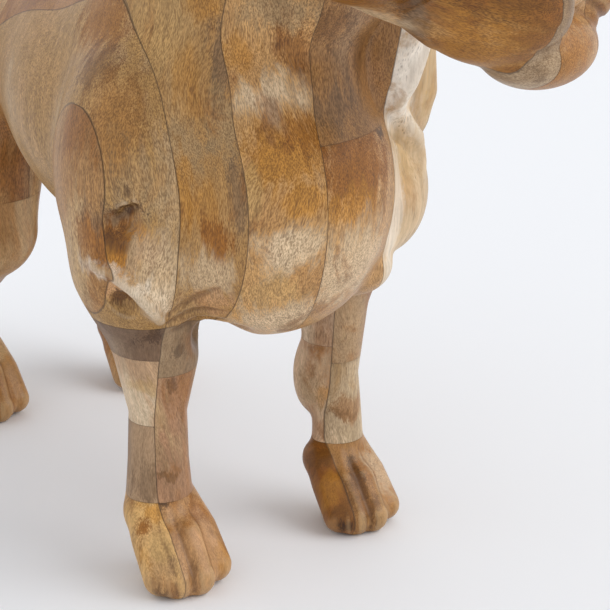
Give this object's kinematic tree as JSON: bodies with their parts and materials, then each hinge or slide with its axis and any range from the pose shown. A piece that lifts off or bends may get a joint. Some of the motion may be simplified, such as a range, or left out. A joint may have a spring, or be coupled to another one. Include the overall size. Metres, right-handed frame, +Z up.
{
  "type": "bulldog figurine",
  "caption": "Standing bulldog, head turned to its left, carved from glued-up hardwood boards; a floor or shelf ornament.",
  "frame": {"origin": "on the floor, under the middle of the dog's bounding box", "axes": "+Z up, -Y the way the dog's body faces, +X the dog's left"},
  "size_m": [0.2592, 0.621, 0.5121],
  "materials": {
    "honey": "honey-coloured heartwood, satin lacquer over planed and carved mango wood",
    "amber": "orange-brown heartwood with dark blotches, satin lacquer over planed and carved mango wood",
    "cream": "pale sapwood, satin lacquer over planed and carved mango wood",
    "grey": "grey-brown wood with fine dark pores, satin lacquer over planed and carved mango wood",
    "dark": "dark brown knotty wood, satin lacquer over planed and carved mango wood",
    "beech": "plain turned beech, unfinished"
  },
  "bodies": {
    "root": {"fore_right_dowel": "beech", "fore_left_dowel": "beech", "hind_right_dowel": "beech", "hind_left_dowel": "beech", "neck_dowel": "beech", "right_shoulder_facing": "honey", "left_shoulder_facing": "cream", "right_shoulder_board": "cream", "right_haunch_board": "amber", "right_chest_board": "honey", "right_rib_board": "amber", "right_rump_board": "honey", "mid_right_chest_board": "amber", "mid_right_rib_board": "cream", "mid_right_loin_board": "honey", "mid_right_rump_board": "grey", "mid_left_chest_board": "honey", "mid_left_neck_board": "grey", "mid_left_rib_board": "amber", "mid_left_loin_board": "cream", "mid_left_rump_board": "honey", "left_chest_board": "cream", "left_rib_board": "honey", "left_rump_board": "amber", "tail": "honey", "right_cheek_board": "amber", "right_head_strip": "grey", "right_muzzle_block": "amber", "right_skull_block": "honey", "left_muzzle_block": "honey", "left_skull_block": "amber", "left_cheek_board": "cream", "right_ear": "amber", "left_ear": "amber", "fore_right_elbow_strip": "dark", "fore_right_forearm_strip": "cream", "fore_right_wrist_strip": "grey", "fore_right_elbow_block": "grey", "fore_right_wrist_block": "honey", "fore_left_elbow_strip": "cream", "fore_left_wrist_strip": "honey", "fore_left_elbow_block": "honey", "fore_left_wrist_block": "cream", "hind_right_gaskin_block": "honey", "hind_right_gaskin_strip": "amber", "hind_right_hock_block": "grey", "hind_left_gaskin_block": "honey", "hind_left_gaskin_strip": "amber", "hind_left_hock_block": "grey", "fore_right_paw_right_half": "amber", "fore_right_paw_left_half": "honey", "fore_left_paw_right_half": "amber", "fore_left_paw_left_half": "honey", "hind_right_paw_right_half": "amber", "hind_right_paw_left_half": "honey", "hind_left_paw_right_half": "amber", "hind_left_paw_left_half": "honey"}
  },
  "joints": []
}
